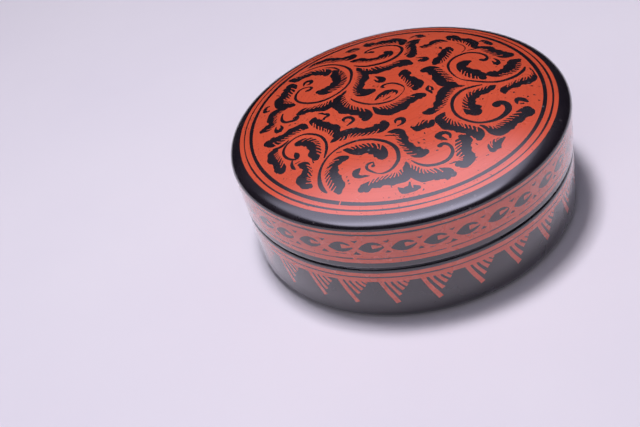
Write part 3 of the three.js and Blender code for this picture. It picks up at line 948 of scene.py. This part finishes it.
class Look:
    """A material and its principled shader, with helpers to add and join nodes."""

    def __init__(self, name):
        self.made = bpy.data.materials.new(name)
        self.made.use_nodes = True
        self.tree = self.made.node_tree
        self.shader = self.tree.nodes["Principled BSDF"]

    def put(self, value, socket):
        """Joins a node's output to a socket, or sets the socket's own value."""
        if isinstance(value, bpy.types.NodeSocket):
            self.tree.links.new(value, socket)
        else:
            socket.default_value = value

    def set(self, **values):
        """Sets the shader's inputs; their names are written with _ for spaces."""
        for name, value in values.items():
            self.put(value, self.shader.inputs[name.replace("_", " ")])

    def node(self, kind, inputs, **settings):
        """Adds a node, and gives back its outputs."""
        made = self.tree.nodes.new(kind)
        for name, setting in settings.items():
            setattr(made, name, setting)
        for name, value in inputs.items():
            self.put(value, made.inputs[name])
        return made.outputs

    def place(self):
        """The point on the object, in metres."""
        return self.node("ShaderNodeTexCoord", {})["Object"]

    def turning(self):
        """A length that is the same all along each line that a lathe would cut."""
        flat = self.node("ShaderNodeVectorMath", {0: self.place(), 1: (1, 1, 0)}, operation="MULTIPLY")
        radius = self.node("ShaderNodeVectorMath", {0: flat[0]}, operation="LENGTH")["Value"]
        height = self.node("ShaderNodeSeparateXYZ", {0: self.place()})["Z"]
        return self.node("ShaderNodeMath", {0: radius, 1: height}, operation="SUBTRACT")[0]

    def noise(self, scale, detail=3.0):
        inputs = {"Vector": self.place(), "Scale": scale, "Detail": detail}
        return self.node("ShaderNodeTexNoise", inputs)["Fac"]

    def turned_noise(self, scale, detail):
        """Noise that runs round the axis, as the marks of turning do."""
        inputs = {"W": self.turning(), "Scale": scale, "Detail": detail}
        return self.node("ShaderNodeTexNoise", inputs, noise_dimensions="1D")["Fac"]

    def spots(self, scale, size):
        """1 inside small round spots, 0 between them."""
        found = self.node("ShaderNodeTexVoronoi", {"Vector": self.place(), "Scale": scale})["Distance"]
        return self.range(found, size, size * 0.6)

    def range(self, value, low, high, to_low=0.0, to_high=1.0):
        inputs = {"Value": value, "From Min": low, "From Max": high, "To Min": to_low, "To Max": to_high}
        return self.node("ShaderNodeMapRange", inputs)["Result"]

    def profile(self, value, points):
        """Values that follow the (place, share) points along the value given."""
        low = points[0][0]
        high = points[-1][0]
        made = self.tree.nodes.new("ShaderNodeValToRGB")
        self.put(self.range(value, low, high), made.inputs["Fac"])
        stops = made.color_ramp.elements
        stops[1].color = stops[0].color  # both ends are dark
        for place, share in points[1:-1]:
            stops.new((place - low) / (high - low)).color = (share,) * 3 + (1,)
        return made.outputs["Color"]

    def times(self, first, second):
        return self.node("ShaderNodeMath", {0: first, 1: second}, operation="MULTIPLY")[0]

    def blend(self, amount, under, over):
        """Mixes two colours: the second one shows where the amount is 1."""
        return self.node("ShaderNodeMix", {0: amount, 6: under, 7: over}, data_type="RGBA")[2]

    def relief(self, height, depth):
        inputs = {"Strength": 1.0, "Distance": depth * MM, "Height": height}
        self.set(Normal=self.node("ShaderNodeBump", inputs)["Normal"])


# Colours of the lacquers and of the floor; a ground has two, between which it clouds
BLACK_GROUND = ((0.010, 0.0075, 0.0125, 1), (0.016, 0.012, 0.018, 1))
DUST = (0.20, 0.17, 0.19, 1)
VERMILION_GROUND = ((0.69, 0.091, 0.042, 1), (0.77, 0.11, 0.052, 1))
TURNING_MARK = (0.40, 0.035, 0.018, 1)
WORN_SPECK = (0.09, 0.018, 0.014, 1)
PAPER_GROUND = ((0.79, 0.745, 0.865, 1), (0.82, 0.775, 0.885, 1))


def lacquer_gloss(look):
    """The polished surface: a clear glossy skin over a slightly hazier one, with faint turning marks."""
    marks = look.turned_noise(900.0, 2.0)
    haze = look.noise(70.0, 4.0)
    streaks = look.turned_noise(420.0, 3.0)
    look.set(Roughness=look.range(haze, 0.3, 0.7, 0.24, 0.3), IOR=1.6)
    look.set(Coat_Weight=1.0, Coat_Roughness=look.range(streaks, 0.35, 0.65, 0.05, 0.13), Coat_IOR=1.55)
    look.relief(marks, 0.005)


def make_black_lacquer():
    look = Look("black_lacquer")
    cloud = look.range(look.noise(120.0), 0.35, 0.7)
    dust = look.times(look.spots(420.0, 0.16), look.range(look.noise(60.0), 0.55, 0.7, 0.0, 0.7))
    look.set(Base_Color=look.blend(dust, look.blend(cloud, *BLACK_GROUND), DUST))
    lacquer_gloss(look)
    return look.made


def make_vermilion_lacquer():
    look = Look("vermilion_lacquer")
    cloud = look.range(look.noise(45.0, 5.0), 0.3, 0.7)
    marks = look.range(look.turned_noise(1300.0, 2.0), 0.5, 0.75, 0.0, 0.22)
    marked = look.blend(marks, look.blend(cloud, *VERMILION_GROUND), TURNING_MARK)
    worn = look.times(look.range(look.noise(1500.0, 3.0), 0.62, 0.7, 0.0, 0.85),
                      look.range(look.noise(130.0), 0.48, 0.62))
    look.set(Base_Color=look.blend(worn, marked, WORN_SPECK))
    lacquer_gloss(look)
    return look.made


def make_pale_paper():
    look = Look("pale_paper")
    cloud = look.range(look.noise(14.0, 6.0), 0.3, 0.7)
    look.set(Base_Color=look.blend(cloud, *PAPER_GROUND), Roughness=0.75)
    return look.made


# Camera, lights and floor

def place_camera():
    """The camera of the photograph, found from the box's outline and pattern, in a 640 x 427 image."""
    image_width = 640.0
    image_middle = Vector((320.0, 213.5))
    elevation = radians(37.52)
    roll = radians(-15.606)
    distance = 258.63
    focal = 1072.99  # in pixels
    target = Vector((404.82, 158.69))  # the pixel where the point on the axis at the target's height is seen
    target_height = 15.0

    forward = Vector((0.0, cos(elevation), -sin(elevation)))
    level_right = Vector((1.0, 0.0, 0.0))
    level_up = level_right.cross(forward)
    right = level_right * cos(roll) + level_up * sin(roll)
    up = level_up * cos(roll) - level_right * sin(roll)
    to_target = forward + right * ((target.x - image_middle.x) / focal)
    to_target = to_target - up * ((target.y - image_middle.y) / focal)
    eye = Vector((0.0, 0.0, target_height)) - to_target.normalized() * distance

    data = bpy.data.cameras.new("photo_camera")
    data.sensor_width = 36.0
    data.lens = focal / image_width * data.sensor_width
    data.clip_start = 0.005
    data.clip_end = 20.0
    camera = add_object("photo_camera", data)
    camera.matrix_world = Matrix.Translation(eye * MM) @ Matrix((right, up, -forward)).transposed().to_4x4()
    bpy.context.scene.camera = camera


def softbox(name, place, aim, size, power):
    """A square area light of neutral colour that gloss doesn't mirror."""
    data = bpy.data.lights.new(name, "AREA")
    data.shape = "RECTANGLE"
    data.size = size
    data.size_y = size
    data.energy = power
    data.color = (1.0, 0.98, 1.0)
    light = add_object(name, data)
    light.location = place
    light.rotation_euler = (Vector(aim) - Vector(place)).to_track_quat("-Z", "Y").to_euler()
    light.visible_glossy = False


def square(name, corners, material):
    """A flat stage object with these corners and this material."""
    mesh = bpy.data.meshes.new(name)
    mesh.from_pydata([(x, y, 0) for x, y in corners], [], [(0, 1, 2, 3)])
    mesh.materials.append(material)
    made = add_object(name, mesh)
    return made


FLOOR_SIZE = 3.0
CARD_HEIGHT = 0.6
CARD_START = -0.6
CARD_END = 0.54
CARD_COLOUR = (0.96, 0.915, 1.18, 1)
CARD_BRIGHTNESS = 4.3
# How bright the card is along x and along y: places on it in metres, and shares of its full brightness
CARD_ALONG_X = [(-0.59, 0.0), (-0.41, 1.0), (0.28, 1.0), (0.42, 0.0)]
CARD_ALONG_Y = [(-0.48, 0.0), (-0.36, 0.55), (-0.22, 1.0), (-0.1, 1.0), (0.02, 0.62), (0.14, 0.46),
                (0.25, 0.42), (0.34, 0.4), (0.42, 0.22), (0.52, 0.0)]


def make_floor():
    size = FLOOR_SIZE
    square("floor", [(-size, -size), (size, -size), (size, size), (-size, size)], make_pale_paper())


def make_card():
    """A level glowing card that faces down and fades out to its sides, which only gloss shows."""
    look = Look("sheen_card")
    place = look.node("ShaderNodeSeparateXYZ", {0: look.place()})
    glow = look.times(look.profile(place["X"], CARD_ALONG_X), look.profile(place["Y"], CARD_ALONG_Y))
    look.set(Base_Color=(0.0, 0.0, 0.0, 1), Specular_IOR_Level=0.0, Emission_Color=CARD_COLOUR)
    look.set(Emission_Strength=look.times(glow, CARD_BRIGHTNESS))
    low = CARD_START
    high = CARD_END
    card = square("sheen_card", [(low, low), (low, high), (high, high), (high, low)], look.made)
    card.location = (0.0, 0.0, CARD_HEIGHT)
    card.visible_camera = False
    card.visible_diffuse = False
    card.visible_shadow = False


def make_light():
    """An overhead card that the gloss mirrors, a softbox that lights, and a soft fill."""
    make_card()
    softbox("key", place=(-0.045, 0.038, 0.62), aim=(0, 0, 0), size=0.11, power=3.05)
    softbox("front_fill", place=(-0.12, -0.42, 0.42), aim=(0, 0, 0.01), size=0.45, power=0.6)
    world = bpy.data.worlds.new("room")
    world.use_nodes = True
    background = world.node_tree.nodes["Background"]
    background.inputs["Color"].default_value = (0.85, 0.84, 1.0, 1)
    background.inputs["Strength"].default_value = 0.05
    bpy.context.scene.world = world
    world.cycles_visibility.glossy = False
    bpy.context.scene.view_settings.view_transform = "Standard"


black_lacquer = make_black_lacquer()
vermilion_lacquer = make_vermilion_lacquer()

lid = make_lid()
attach(lid, "root")
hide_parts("lid")

body = make_body()
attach(body, "root")
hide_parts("body")

make_floor()
make_light()
place_camera()
